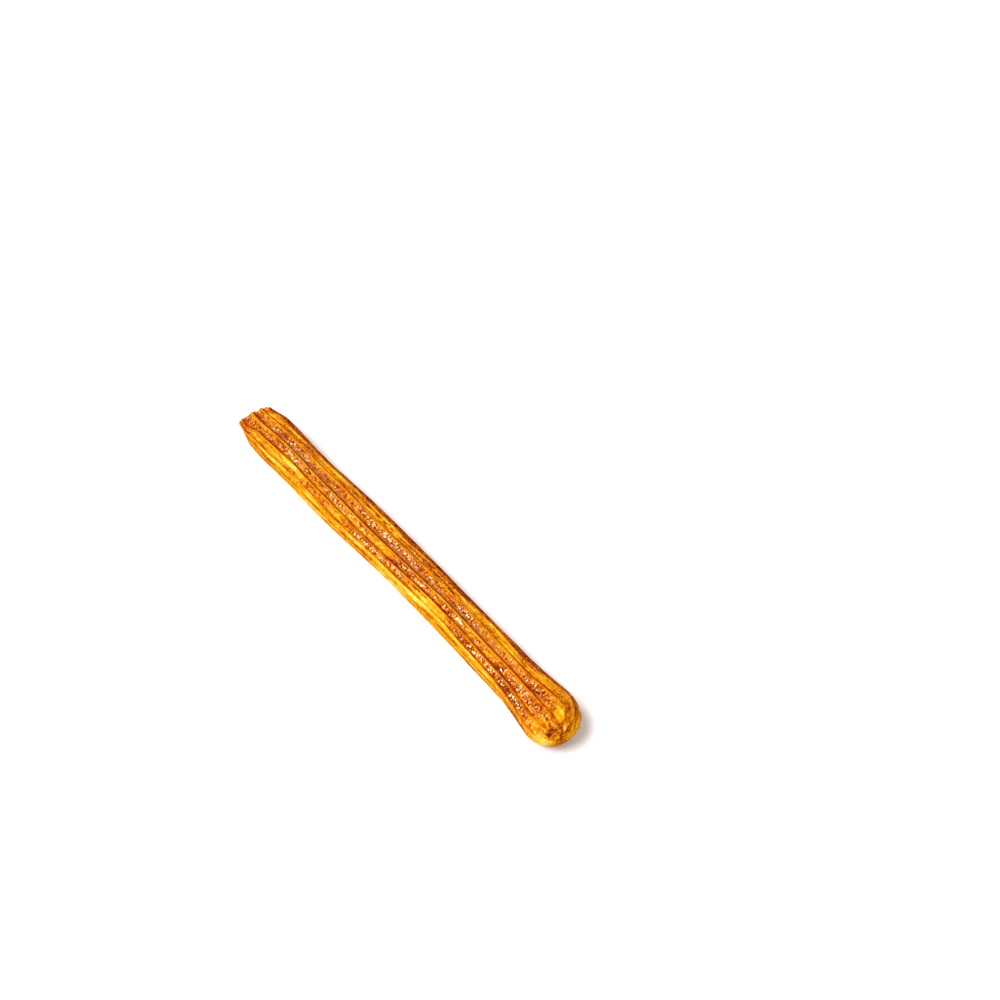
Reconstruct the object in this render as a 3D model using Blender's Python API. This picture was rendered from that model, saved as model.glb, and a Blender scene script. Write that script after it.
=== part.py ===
"""A baked churro: one stick of choux dough piped through a star nozzle.

It lies along X on its flat underside. The cut end, where the dough was taken off the nozzle, is at -X:
a low scalloped rim around a dished face. The round end, where piping began, is at +X: a bulb on which
the flutes sweep round to one point. Between them run concave flutes that meet at sharp ridges.

Angles go around the stick from the top, through -Y, to the underside and back up through +Y.
Lengths are in metres.
"""

import math

import bmesh
import bpy
import numpy as np

# The stick as a whole.
CUT_END_X = -0.1257
ROUND_END_X = 0.1252
BULB_X = 0.1097
BODY_RADIUS = 0.0117

# How the radius along the ridges changes: place, reach and amount of each gentle swelling.
SWELLINGS = (
    (-0.098, 0.016, 0.0010),
    (-0.039, 0.030, 0.0008),
    (0.049, 0.028, -0.0002),
)
BULB_GROWTH = 0.0028
BULB_SPAN = (0.085, 0.119)
CUT_END_TAPER = 0.0023
TAPER_SPAN = (-0.129, -0.107)
CUT_END_SQUASH = 0.06
SQUASH_SPAN = (-0.127, -0.098)
CUT_END_LIFT = 0.0016
LIFT_SPAN = (-0.126, -0.102)

# The slow sideways bow of the centre line: an offset that is eased in over each span.
BOW_START = -0.0005
BOW = (
    (0.0027, -0.066, 0.008),
    (-0.0020, 0.082, 0.124),
    (-0.0011, -0.128, -0.105),
)

# The round section is sunk into the tray by this share of its height, which makes the underside flat.
CENTRE_HEIGHT = 0.93

# The flutes, in degrees around the stick, starting from the ridge at FIRST_RIDGE.
FIRST_RIDGE = -67.0
FLUTE_DEGREES = (23, 25, 28, 22, 22, 20.5, 22, 22.5, 22, 22, 22, 21.5, 22, 22, 21.5, 22)
FLUTE_DEPTH = 0.00095
FLUTE_DEPTH_CHANGE = 0.22
FLUTE_BOWL_POWER = 2.3
SHALLOW_BULB = 0.40
SHALLOW_BULB_SPAN = (0.084, 0.109)
SHALLOW_CUT_END = 0.20
SHALLOW_CUT_END_SPAN = (-0.126, -0.112)
FACETS_PER_FLUTE = 6

# The flutes wander a little along the stick, spread over the bulb and crowd together at the cut end.
TWIST_DEGREES = 4.0
TWIST_PITCH = 0.103
TWIST_CREST = -0.009
TWIST_SPAN = (-0.125, -0.090)
SPREAD_DEGREES = 13.0
SPREAD_SPAN = (0.080, 0.108)
CROWDING_DEGREES = 20.0
CROWDING_SPAN = (-0.125, -0.103)
CROWDING_ARC = (7.0, 97.0)

# Where a few ridges stray: place and reach along the stick, angle and reach around it, and how far.
STRAYS = (
    (-0.085, 0.020, 5.0, 30.0, -5.5),
    (-0.121, 0.009, 33.0, 18.0, 13.0),
    (0.097, 0.028, 9.0, 14.0, -6.0),
)

# The cut end leans back at the top and on the +Y side, and its ridges end in small tips.
LEAN_SPAN = (-0.125, -0.095)
TOP_SET_BACK = 0.0058
SIDE_SET_BACK = 0.0020
TIP_LENGTH = 0.0005
TIP_SPAN = (-0.125, -0.117)
FACE_DISH = 0.0016
FACE_RINGS = (0.82, 0.55, 0.28)

# The round end: its pole is turned up and towards -Y, it is longer on the +Y side by this share, and the
# flutes fade before they reach the pole.
POLE_DIRECTION = (0.80, -0.30, 0.47)
BULB_SQUARENESS = 2.25
FAR_SIDE_REACH = 0.0875
FADE_START_DEGREES = (2.0, 12.0)
FADE_LENGTH_DEGREES = (40.0, 62.0)

BODY_RINGS = 34
RING_BUNCHING = 0.09
BULB_RINGS = 10
POLE_GAP_DEGREES = 3.0

CRUST_COLOUR = (0.62, 0.25, 0.035, 1.0)
CRUST_ROUGHNESS = 0.38


def ease(value, start, end):
    """Smooth rise from 0 at start to 1 at end."""
    share = np.clip((value - start) / (end - start), 0.0, 1.0)
    return share * share * (3.0 - 2.0 * share)


def ridge_radius(x):
    """Radius of the stick over its ridges at x."""
    radius = BODY_RADIUS + BULB_GROWTH * ease(x, *BULB_SPAN)
    for place, reach, amount in SWELLINGS:
        radius = radius + amount * np.exp(-(((x - place) / reach) ** 2))
    return radius - CUT_END_TAPER * (1.0 - ease(x, *TAPER_SPAN))


def height_share(x):
    """Height of the section as a share of its width: the cut end is pressed a little flat."""
    return 1.0 - CUT_END_SQUASH * (1.0 - ease(x, *SQUASH_SPAN))


def centre_z(x):
    """Height of the centre line at x: low enough to flatten the underside, and rising at the cut end."""
    lift = CUT_END_LIFT * (1.0 - ease(x, *LIFT_SPAN))
    return CENTRE_HEIGHT * ridge_radius(x) * height_share(x) + lift


def centre_y(x):
    """Sideways place of the centre line at x."""
    return BOW_START + sum(amount * ease(x, start, end) for amount, start, end in BOW)


def flute_columns():
    """Angle of every column of the mesh before it is warped, and its place across its flute, 0 to 1."""
    across = np.arange(FACETS_PER_FLUTE) / FACETS_PER_FLUTE
    widths = np.array(FLUTE_DEGREES)
    starts = FIRST_RIDGE + np.concatenate([[0.0], np.cumsum(widths)[:-1]])
    angles = starts[:, None] + widths[:, None] * across
    return np.radians(angles.ravel()), np.tile(across, len(widths))


def warped(base, x):
    """Angle at x of the column whose plain angle is base."""
    wave = np.cos(2.0 * math.pi * (x - TWIST_CREST) / TWIST_PITCH)
    twist = math.radians(TWIST_DEGREES) * wave * ease(x, *TWIST_SPAN)
    spread = math.radians(SPREAD_DEGREES) * ease(x, *SPREAD_SPAN) * np.sin(base)
    first, last = np.radians(CROWDING_ARC)
    across = np.clip((base - first) / (last - first), 0.0, 1.0)
    crowding = math.radians(CROWDING_DEGREES) * (1.0 - ease(x, *CROWDING_SPAN)) * np.sin(math.pi * across)
    straying = 0.0
    for place, reach, angle, arc, degrees in STRAYS:
        near = ((x - place) / reach) ** 2 + ((np.degrees(base) - angle) / arc) ** 2
        straying = straying + math.radians(degrees) * np.exp(-near)
    return base + twist + spread + crowding + straying


def flute_depth(x, base, across):
    """How far a column lies below the ridges: a bowl between two ridges, a little uneven.

    The flutes are shallower on the bulb and at the cut end.
    """
    bowl = 1.0 - np.abs(2.0 * across - 1.0) ** FLUTE_BOWL_POWER
    uneven = 1.0 + FLUTE_DEPTH_CHANGE * np.sin(3.0 * base + 1.0)
    full = 1.0 - SHALLOW_BULB * ease(x, *SHALLOW_BULB_SPAN)
    full = full - SHALLOW_CUT_END * (1.0 - ease(x, *SHALLOW_CUT_END_SPAN))
    return FLUTE_DEPTH * uneven * bowl * full


def body_ring(x, base, across):
    """One ring of the body. Near the cut end it leans with the cut, and its ridges reach further out."""
    angle = warped(base, x)
    width = ridge_radius(x) - flute_depth(x, base, across)
    height = width * height_share(x)
    lean = TOP_SET_BACK * ((1.0 + np.cos(angle)) / 2.0) ** 1.5 + SIDE_SET_BACK * (1.0 - np.sin(angle))
    tips = TIP_LENGTH * (1.0 - np.abs(2.0 * across - 1.0) ** 2)
    along = x + lean * (1.0 - ease(x, *LEAN_SPAN)) + tips * (1.0 - ease(x, *TIP_SPAN))
    side = centre_y(x) - width * np.sin(angle)
    up = centre_z(x) + height * np.cos(angle)
    return np.stack([along, side, up], axis=1)


def bulb_ring(turn, base, across):
    """One ring of the round end. Turn goes from 0 at the widest ring to 90 degrees at the pole."""
    angle = warped(base, BULB_X)
    spoke = np.stack([np.zeros_like(angle), -np.sin(angle), np.cos(angle)], axis=1)
    pull = ease(turn, 0.0, math.pi / 2.0)
    pole = np.array([1.0, 0.0, 0.0]) * (1.0 - pull) + np.array(POLE_DIRECTION) * pull
    pole = pole / np.linalg.norm(pole)
    direction = math.cos(turn) * spoke + math.sin(turn) * pole
    direction = direction / np.linalg.norm(direction, axis=1, keepdims=True)
    far_side = (1.0 - np.sin(angle)) / 2.0
    fade_start = np.radians(FADE_START_DEGREES[0] + FADE_START_DEGREES[1] * far_side)
    fade_length = np.radians(FADE_LENGTH_DEGREES[0] + FADE_LENGTH_DEGREES[1] * far_side)
    kept = 1.0 - ease(turn, fade_start, fade_start + fade_length)
    radius = ridge_radius(BULB_X)
    reach = (ROUND_END_X - BULB_X) * (1.0 + FAR_SIDE_REACH * direction[:, 1])
    ahead = np.abs(direction[:, 0]) / reach
    outward = np.hypot(direction[:, 1], direction[:, 2]) / radius
    size = (ahead**BULB_SQUARENESS + outward**BULB_SQUARENESS) ** (-1.0 / BULB_SQUARENESS)
    size = size - flute_depth(BULB_X, base, across) * kept
    centre = np.array([BULB_X, centre_y(BULB_X), centre_z(BULB_X)])
    return centre + direction * size[:, None]


def cut_face_ring(rim, share):
    """One ring of the dished face inside the rim, at this share of the way out from its middle."""
    middle = rim.mean(axis=0)
    ring = middle + (rim - middle) * share
    ring[:, 0] += FACE_DISH * (1.0 - share**2) ** 0.5
    return ring


def stick_rings():
    """All rings, from the middle of the cut face to the last ring around the pole."""
    base, across = flute_columns()
    share = np.linspace(0.0, 1.0, BODY_RINGS)
    bunched = share - RING_BUNCHING * np.sin(2.0 * math.pi * share)
    body = [body_ring(x, base, across) for x in CUT_END_X + (BULB_X - CUT_END_X) * bunched]
    turns = np.linspace(0.0, math.pi / 2.0 - math.radians(POLE_GAP_DEGREES), BULB_RINGS + 1)[1:]
    bulb = [bulb_ring(turn, base, across) for turn in turns]
    face = [cut_face_ring(body[0], out) for out in reversed(FACE_RINGS)]
    return face + body + bulb


def settle(rings):
    """Press the underside flat on z = 0, and put the origin at the bottom centre of the box."""
    points = np.concatenate(rings)
    low, high = points.min(axis=0), points.max(axis=0)
    middle = (low + high) / 2.0
    settled = []
    for ring in rings:
        moved = ring - [middle[0], middle[1], 0.0]
        moved[:, 2] = np.maximum(moved[:, 2], 0.0)
        settled.append(moved)
    return settled


def add_loop(bm, points):
    """Add a closed loop of edges through the points and return its edges."""
    corners = [bm.verts.new(point) for point in points]
    return [bm.edges.new((corners[i - 1], corners[i])) for i in range(len(corners))]


def skin(bm, rings):
    """Bridge each ring to the next, and close both ends with a fan."""
    loops = [add_loop(bm, ring) for ring in rings]
    for near, far in zip(loops, loops[1:]):
        bmesh.ops.bridge_loops(bm, edges=near + far)
    for loop in (loops[0], loops[-1]):
        cap = bmesh.ops.contextual_create(bm, geom=loop)["faces"]
        bmesh.ops.poke(bm, faces=cap)
    bmesh.ops.triangulate(bm, faces=bm.faces[:])
    bmesh.ops.recalc_face_normals(bm, faces=bm.faces[:])


def crust_material():
    """Golden-brown, egg-washed choux crust."""
    material = bpy.data.materials.new("baked crust")
    material.use_nodes = True
    shader = material.node_tree.nodes["Principled BSDF"]
    shader.inputs["Base Color"].default_value = CRUST_COLOUR
    shader.inputs["Roughness"].default_value = CRUST_ROUGHNESS
    return material


def make_churro():
    bm = bmesh.new()
    skin(bm, settle(stick_rings()))
    mesh = bpy.data.meshes.new("churro")
    bm.to_mesh(mesh)
    bm.free()
    mesh.shade_smooth()
    mesh.set_sharp_from_angle(angle=math.radians(50.0))
    mesh.materials.append(crust_material())
    churro = bpy.data.objects.new("churro", mesh)
    bpy.context.scene.collection.objects.link(churro)
    return churro


for leftover in list(bpy.data.objects):
    bpy.data.objects.remove(leftover)
make_churro()
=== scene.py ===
"""Looks of a baked churro: its fine crust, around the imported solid, on a pale floor in soft light.

The stick is choux dough piped through a star nozzle, washed with egg and baked. It lies along X,
with the cut end at -X and the round end at +X. Angles go around it from the top, through -Y, to
the underside and back up through +Y. The form's lengths are in metres. Those of the relief, the
marked places and the patterns are in mm.
"""

import itertools
import logging
import math
from dataclasses import dataclass
from enum import Enum
from functools import partial
from types import SimpleNamespace

import bpy
import numpy as np
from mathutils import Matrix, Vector


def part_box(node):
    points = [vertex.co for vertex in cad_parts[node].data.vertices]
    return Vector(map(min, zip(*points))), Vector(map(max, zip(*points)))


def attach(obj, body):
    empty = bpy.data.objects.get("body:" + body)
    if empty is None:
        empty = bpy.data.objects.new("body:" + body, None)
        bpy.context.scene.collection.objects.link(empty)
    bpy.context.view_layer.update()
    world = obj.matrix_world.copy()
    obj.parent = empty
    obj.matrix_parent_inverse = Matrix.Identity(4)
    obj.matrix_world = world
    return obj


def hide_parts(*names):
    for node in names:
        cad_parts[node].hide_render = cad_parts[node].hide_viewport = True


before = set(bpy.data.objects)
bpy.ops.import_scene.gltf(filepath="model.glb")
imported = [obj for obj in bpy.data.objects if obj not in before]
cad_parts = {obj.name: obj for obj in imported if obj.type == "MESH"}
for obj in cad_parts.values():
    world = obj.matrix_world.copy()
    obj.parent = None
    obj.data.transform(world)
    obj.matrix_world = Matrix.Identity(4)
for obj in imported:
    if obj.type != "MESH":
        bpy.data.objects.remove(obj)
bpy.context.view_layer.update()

MM = 0.001
TINY = 1e-12
Array = np.ndarray
Values = Array | float
log = logging.getLogger("churro")


# ---------------------------------------------------------------- numbers and noise


def ease(value: Values, span: tuple) -> Array:
    """Smooth rise over a span: 3s^2 - 2s^3 of the share s of the way, times the rise.

    Args:
        value: where along the span.
        span: its start and end and, where it isn't 1, the rise.

    Returns:
        0 before the span, and the rise after it.
    """
    start, end, rise = (*span, 1.0)[:3]
    share = np.clip((value - start) / (end - start), 0.0, 1.0)
    return rise * (share * share * (3.0 - 2.0 * share))


def fall(value: Values, span: tuple) -> Array:
    """Smooth fall over a span, down to 0 from what ease() rises to."""
    return (*span, 1.0)[2] * (1.0 - ease(value, span[:2]))


def swung(values: Array, swing: tuple[float, float]) -> Array:
    """A straight line through the values: the swing's first number plus its second times each."""
    return swing[0] + swing[1] * values


HASH_FACTORS = np.array([0x9E3779B97F4A7C15, 0xC2B2AE3D27D4EB4F, 0x165667B19E3779F9], dtype=np.uint64)
HASH_MIXER = np.uint64(0xD6E8FEB86659FD93)
HASH_SEED_STEP = 7919
HASH_SEED_START = 17


def hashed(cells: Array, seed: int) -> Array:
    """One repeatable number for each cell of a lattice.

    The three whole coordinates are multiplied by odd constants, joined, and mixed by shifts and
    products. The top 24 bits make the number.

    Args:
        cells: whole numbers, (..., 3).
        seed: picks another set of numbers.

    Returns:
        Numbers from 0 to 1, (...).
    """
    whole = cells.astype(np.int64).view(np.uint64)
    start = np.uint64(seed * HASH_SEED_STEP + HASH_SEED_START)
    mixed = np.bitwise_xor.reduce(whole * HASH_FACTORS, axis=-1) + start
    for _ in range(2):
        mixed = (mixed ^ (mixed >> np.uint64(31))) * HASH_MIXER
    return (mixed >> np.uint64(40)).astype(np.float64) / 2.0**24


def smooth_noise(places: Array, seed: int) -> Array:
    """Soft random hills from -1 to 1: the hashed corners of each cell, blended with smooth weights.

    Args:
        places: points, in cells, (..., 3).
        seed: picks another set of hills.

    Returns:
        The height at each point, (...).
    """
    home = np.floor(places).astype(np.int64)
    share = places - home
    share = share * share * (3.0 - 2.0 * share)
    height = np.zeros(places.shape[:-1])
    for corner in itertools.product((0, 1), repeat=3):
        weight = np.prod(np.where(np.array(corner) == 1, share, 1.0 - share), axis=-1)
        height += weight * hashed(home + np.array(corner), seed)
    return 2.0 * height - 1.0


def rough_noise(places: Array, seed: int, layers: int = 3) -> Array:
    """Smooth noise in layers, each half as large and high as the last.

    Args:
        places: points, in cells, (..., 3).
        seed: picks another set of hills.
        layers: how many.

    Returns:
        The height at each point, from about -1 to 1.
    """
    height = sum(
        smooth_noise(places * 2.0**layer, seed + layer) * 0.5**layer for layer in range(layers)
    )
    return height / (2.0 - 0.5 ** (layers - 1))


def domes(places: Array, seed: int) -> tuple[Array, Array]:
    """Packed round pebbles: a dome stands on one random point in every cell of a lattice.

    The height is 1 - (d1 / d2)^2.5, where d1 and d2 are the distances to the two nearest points.
    It is 1 on every top and 0 in the creases between.

    Args:
        places: points, in cells, (..., 3).
        seed: picks another scattering.

    Returns:
        The height, and one random number from 0 to 1 for each dome, both (...).
    """
    home = np.floor(places).astype(np.int64)
    nearest = np.full(places.shape[:-1], np.inf)
    second = nearest.copy()
    tint = np.zeros_like(nearest)
    for step in itertools.product((-1, 0, 1), repeat=3):
        cell = home + np.array(step)
        spot = cell + np.stack([hashed(cell, seed + axis) for axis in range(3)], axis=-1)
        distance = np.linalg.norm(places - spot, axis=-1)
        closer = distance < nearest
        second = np.where(closer, nearest, np.minimum(second, distance))
        tint = np.where(closer, hashed(cell, seed + 3), tint)
        nearest = np.where(closer, distance, nearest)
    return 1.0 - (nearest / np.maximum(second, TINY)) ** 2.5, tint


class Skin(SimpleNamespace):
    """Arrays over the grid of the crust, by name: rows run along the stick, columns around it."""


class Kind(Enum):
    """How a random pattern is drawn."""

    SOFT = "soft hills"
    ROUGH = "hills with smaller hills on them"
    PEBBLES = "packed round pebbles, each with its own tint"
    STREAKS = "soft hills drawn out along the stick"


@dataclass(frozen=True)
class Pattern:
    """One random pattern: its kind, the size of its hills in mm along each way, and its seed."""

    kind: Kind
    size: tuple
    seed: int

    def draw(self, skin: Skin, name: str) -> None:
        """Adds the pattern to the skin: streaks read the distances along and around it.

        Args:
            skin: the bare surface.
            name: what to call it there. The tints of pebbles go by this name and "_tint".
        """
        if self.kind is Kind.STREAKS:
            length, width = self.size
            around = np.radians(skin.angle) * skin.radius / width
            places = np.stack([skin.along / length, around, np.zeros_like(around)], axis=-1)
        else:
            places = skin.points / MM / self.size
        if self.kind is Kind.PEBBLES:
            height, tint = domes(places, self.seed)
            setattr(skin, name + "_tint", tint)
        else:
            noise = rough_noise if self.kind is Kind.ROUGH else smooth_noise
            height = noise(places, self.seed)
        setattr(skin, name, height)


PATTERNS: dict[str, Pattern] = {
    "shift_along": Pattern(Kind.ROUGH, (5.0, 2.2, 2.2), 11),
    "shift_around": Pattern(Kind.ROUGH, (4.0, 2.0, 2.0), 23),
    "edge_flecks": Pattern(Kind.ROUGH, (1.7, 1.1, 1.1), 29),
    "edge_streaks": Pattern(Kind.STREAKS, (8.0, 0.9), 37),
    "patches": Pattern(Kind.SOFT, (8.0, 4.0, 4.0), 31),
    "pebble": Pattern(Kind.PEBBLES, (1.85, 2.5, 2.5), 41),
    "grain": Pattern(Kind.PEBBLES, (1.15, 1.3, 1.3), 51),
    "slant": Pattern(Kind.SOFT, (7.0, 7.0, 7.0), 61),
    "uneven": Pattern(Kind.SOFT, (4.5, 3.0, 3.0), 71),
    "streak": Pattern(Kind.STREAKS, (13.0, 0.75), 81),
    "lumps": Pattern(Kind.ROUGH, (9.0, 9.0, 9.0), 91),
    "tears": Pattern(Kind.ROUGH, (2.4, 2.4, 2.4), 101),
    "wide": Pattern(Kind.SOFT, (11.0, 5.0, 5.0), 111),
    "fine": Pattern(Kind.ROUGH, (2.2, 1.2, 1.2), 121),
    "torn": Pattern(Kind.ROUGH, (3.0, 2.2, 2.2), 131),
    "pit": Pattern(Kind.PEBBLES, (1.5, 1.5, 1.5), 141),
    "rim_flecks": Pattern(Kind.ROUGH, (1.6, 0.8, 0.8), 151),
}


# ---------------------------------------------------------------- the form of the stick


@dataclass(frozen=True)
class StickForm:
    """The bare stick: its sizes and its surface.

    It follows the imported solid, apart from small things: its ridges are rounded, and towards the
    cut end its flutes grow shallower and turn into soft waves. Every surface method takes whole
    arrays: rows run along the stick and columns around it. A span is where something eases in,
    along X or across a flute, and its third number is how much.
    """

    cut_end_x: float = -0.1257
    round_end_x: float = 0.1252
    bulb_x: float = 0.1097
    body_radius: float = 0.0117
    # Each swelling: its place along X, its reach and how much it adds to the radius.
    swellings: tuple = ((-0.098, 0.016, 0.0010), (-0.039, 0.030, 0.0008), (0.049, 0.028, -0.0002))
    bulb_growth_span: tuple = (0.085, 0.119, 0.0028)
    taper_span: tuple = (-0.129, -0.107, 0.0023)
    squash_span: tuple = (-0.127, -0.098, 0.06)
    lift_span: tuple = (-0.126, -0.102, 0.0016)
    bow_start: float = -0.0005
    bow_spans: tuple = ((-0.066, 0.008, 0.0027), (0.082, 0.124, -0.0020), (-0.128, -0.105, -0.0011))
    centre_height: float = 0.93
    first_ridge: float = -176.0
    flute_degrees: tuple = (21.5, 22, 22, 21.5, 22, 23, 25, 28, 22, 22, 20.5, 22, 22.5, 22, 22, 22)
    flute_depth: float = 0.00095
    flute_depth_change: float = 0.22
    flute_depth_waves: float = 3.0
    flute_depth_phase: float = 1.0
    flute_bowl_powers: tuple = (2.6, 4.4)
    flute_bowl_span: tuple = (0.3, 0.7)
    ridge_rounding: float = 0.12
    cut_end_wave: float = 0.9
    shallow_bulb_span: tuple = (0.084, 0.109, 0.40)
    shallow_cut_end: float = 0.35
    shallow_cut_end_span: tuple = (-0.126, -0.112)
    twist_pitch: float = 0.103
    twist_crest: float = -0.009
    # These three turn the flutes, by degrees.
    twist_span: tuple = (-0.125, -0.090, 4.0)
    spread_span: tuple = (0.080, 0.108, 13.0)
    crowding_span: tuple = (-0.125, -0.103, 20.0)
    crowding_arc: tuple = (7.0, 97.0)
    # Each place where ridges stray: along X, its reach, its angle, its arc, and by how much.
    strays: tuple = (
        (-0.085, 0.020, 5.0, 30.0, -5.5),
        (-0.121, 0.009, 33.0, 18.0, 13.0),
        (0.097, 0.028, 9.0, 14.0, -6.0),
    )
    lean_span: tuple = (-0.125, -0.095)
    top_set_back: float = 0.0058
    top_set_back_power: float = 1.5
    side_set_back: float = 0.0020
    tip_span: tuple = (-0.125, -0.117, 0.0005)
    face_dish: float = 0.0016
    face_waves: int = 4
    scallop_power: int = 5
    pole_direction: tuple = (0.80, -0.30, 0.47)
    bulb_squareness: float = 2.25
    far_side_reach: float = 0.0875
    fade_start_degrees: tuple = (2.0, 12.0)
    fade_length_degrees: tuple = (40.0, 62.0)

    def ridge_radius(self, x: Array) -> Array:
        """Radius over the ridges: the body's, with the bulb and the swellings, less the taper.

        Args:
            x: places along the stick.

        Returns:
            The radius at each of them.
        """
        radius = self.body_radius + ease(x, self.bulb_growth_span)
        for place, reach, amount in self.swellings:
            radius = radius + amount * np.exp(-(((x - place) / reach) ** 2))
        return radius - fall(x, self.taper_span)

    def height_share(self, x: Array) -> Array:
        """Height of the section as a share of its width: the cut end is pressed a little flat."""
        return 1.0 - fall(x, self.squash_span)

    def centre_z(self, x: Array) -> Array:
        """Height of the centre line: low, to flatten the underside, and rising at the cut end."""
        lowered = self.centre_height * self.ridge_radius(x) * self.height_share(x)
        return lowered + fall(x, self.lift_span)

    def centre_y(self, x: Array) -> Array:
        """Sideways place of the centre line: a slow bow, eased in over each span."""
        return self.bow_start + sum(ease(x, span) for span in self.bow_spans)

    def warped(self, base: Array, x: Array) -> Array:
        """Where a column really lies: a twist, a spread, a crowding and straying ridges are added.

        The twist is a slow wave, the spread lies over the bulb, and the crowding is towards -Y at
        the cut end. Each place where a few ridges stray is a hump exp(-d^2).

        Args:
            base: plain angle of each column, in radians.
            x: place of each row.

        Returns:
            The angle of each column at each row.
        """
        wave = np.cos(math.tau * (x - self.twist_crest) / self.twist_pitch)
        twist = np.radians(ease(x, self.twist_span)) * wave
        spread = np.radians(ease(x, self.spread_span)) * np.sin(base)
        first, last = np.radians(self.crowding_arc)
        across = np.clip((base - first) / (last - first), 0.0, 1.0)
        crowding = np.radians(fall(x, self.crowding_span)) * np.sin(math.pi * across)
        straying = sum(
            math.radians(degrees)
            * np.exp(-(((x - place) / reach) ** 2) - ((np.degrees(base) - angle) / arc) ** 2)
            for place, reach, angle, arc, degrees in self.strays
        )
        return base + twist + spread + crowding + straying

    def depth(self, x: Array, base: Array, across: Array) -> Array:
        """How far a column lies below the ridges.

        It is 1 - (1 - e)^p, where e is 0 on a ridge and 1 amid the flute: sqrt(t^2 + r^2) - r of
        the plain share t, scaled to end at 1, which rounds each ridge over r. The power p grows
        across the flute, so that each ridge has a gentle side and a steep one. Towards the cut end
        this bowl gives way to a wave, sin^2 of the way across. The flutes are shallower there and
        on the bulb.

        Args:
            x: place of each row.
            base: plain angle of each column.
            across: place of each column across its flute, 0 to 1.

        Returns:
            The depth at each row and column.
        """
        power = self.flute_bowl_powers[0]
        power = power + np.ptp(self.flute_bowl_powers) * ease(across, self.flute_bowl_span)
        at_cut_end = fall(x, self.shallow_cut_end_span)
        rounding = self.ridge_rounding
        inward = np.hypot(1.0 - np.abs(2.0 * across - 1.0), rounding) - rounding
        bowl = 1.0 - (1.0 - inward / (math.hypot(1.0, rounding) - rounding)) ** power
        bowl = bowl + (np.sin(math.pi * across) ** 2 - bowl) * self.cut_end_wave * at_cut_end
        full = 1.0 - ease(x, self.shallow_bulb_span) - self.shallow_cut_end * at_cut_end
        wave = np.sin(self.flute_depth_waves * base + self.flute_depth_phase)
        return self.flute_depth * (1.0 + self.flute_depth_change * wave) * bowl * full

    def body(self, x: Array, base: Array, across: Array) -> Array:
        """The body's surface: circles of the ridge radius less the flutes, along the centre line.

        Near the cut end each ring leans back at the top, and its ridges reach further out.

        Args:
            x: place of each row, (rows, 1).
            base: plain angle of each column, (rows, columns).
            across: place of each column across its flute, 0 to 1, (1, columns).

        Returns:
            Points, (rows, columns, 3).
        """
        angle = self.warped(base, x)
        width = self.ridge_radius(x) - self.depth(x, base, across)
        lean = self.top_set_back * ((1.0 + np.cos(angle)) / 2.0) ** self.top_set_back_power
        lean = lean + self.side_set_back * (1.0 - np.sin(angle))
        tips = fall(x, self.tip_span) * np.sin(math.pi * across) ** 2
        along = x + lean * fall(x, self.lean_span) + tips
        side = self.centre_y(x) - width * np.sin(angle)
        up = self.centre_z(x) + width * self.height_share(x) * np.cos(angle)
        return np.stack([along, side, up], axis=-1)

    def bulb(self, turn: Array, base: Array, across: Array) -> Array:
        """The round end: a somewhat square ball, |x/a|^p + |r/b|^p = 1, seen from its own centre.

        It reaches further out on the +Y side. Each column leaves the widest ring and turns towards
        a pole that swings up and towards -Y, and its flute fades on the way.

        Args:
            turn: how far each row has turned, 0 to 90 degrees in radians, (rows, 1).
            base: plain angle of each column, (rows, columns).
            across: place of each column across its flute, 0 to 1, (1, columns).

        Returns:
            Points, (rows, columns, 3).
        """
        x = np.float64(self.bulb_x)
        angle = self.warped(base, x)
        spoke = np.stack([np.zeros_like(angle), -np.sin(angle), np.cos(angle)], axis=-1)
        pull = ease(turn, (0.0, math.pi / 2.0))[..., None]
        pole = np.array([1.0, 0.0, 0.0]) * (1.0 - pull) + np.array(self.pole_direction) * pull
        pole = pole / np.linalg.norm(pole, axis=-1, keepdims=True)
        direction = np.cos(turn)[..., None] * spoke + np.sin(turn)[..., None] * pole
        direction = direction / np.linalg.norm(direction, axis=-1, keepdims=True)
        farther = 1.0 + self.far_side_reach * direction[..., 1]
        ahead = np.abs(direction[..., 0]) / ((self.round_end_x - self.bulb_x) * farther)
        outward = np.hypot(direction[..., 1], direction[..., 2]) / self.ridge_radius(x)
        power = self.bulb_squareness
        size = (ahead**power + outward**power) ** (-1.0 / power)
        size = size - self.depth(x, base, across) * self.kept(turn, angle)
        centre = np.array([x, self.centre_y(x), self.centre_z(x)])
        return centre + direction * size[..., None]

    def kept(self, turn: Array, angle: Array) -> Array:
        """Share of a flute's depth that is left on the round end: it fades last on the +Y side.

        Args:
            turn: how far each row has turned towards the pole, in radians.
            angle: angle of each column.

        Returns:
            The share at each row and column, 0 to 1.
        """
        far_side = (1.0 - np.sin(angle)) / 2.0
        start = np.radians(swung(far_side, self.fade_start_degrees))
        length = np.radians(swung(far_side, self.fade_length_degrees))
        return fall(turn, (start, start + length))

    def face(self, rim: Array, share: Array) -> Array:
        """The dished face inside the rim: the rim drawn in by share s, pushed in by sqrt(1 - s^2).

        Only the rim's slow waves reach the middle. Its scallops die away inwards as s^5.

        Args:
            rim: the first ring of the body, (1, columns, 3).
            share: how far out each row lies, 0 to 1, (rows, 1).

        Returns:
            Points, (rows, columns, 3).
        """
        waves = np.fft.rfft(rim, axis=-2)
        waves[:, self.face_waves :] = 0.0
        plain = np.fft.irfft(waves, n=rim.shape[-2], axis=-2)
        middle = plain.mean(axis=-2, keepdims=True)
        scallops = (rim - plain) * share[..., None] ** self.scallop_power
        points = middle + (plain - middle) * share[..., None] + scallops
        points[..., 0] += self.face_dish * np.sqrt(1.0 - share**2)
        return points


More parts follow.
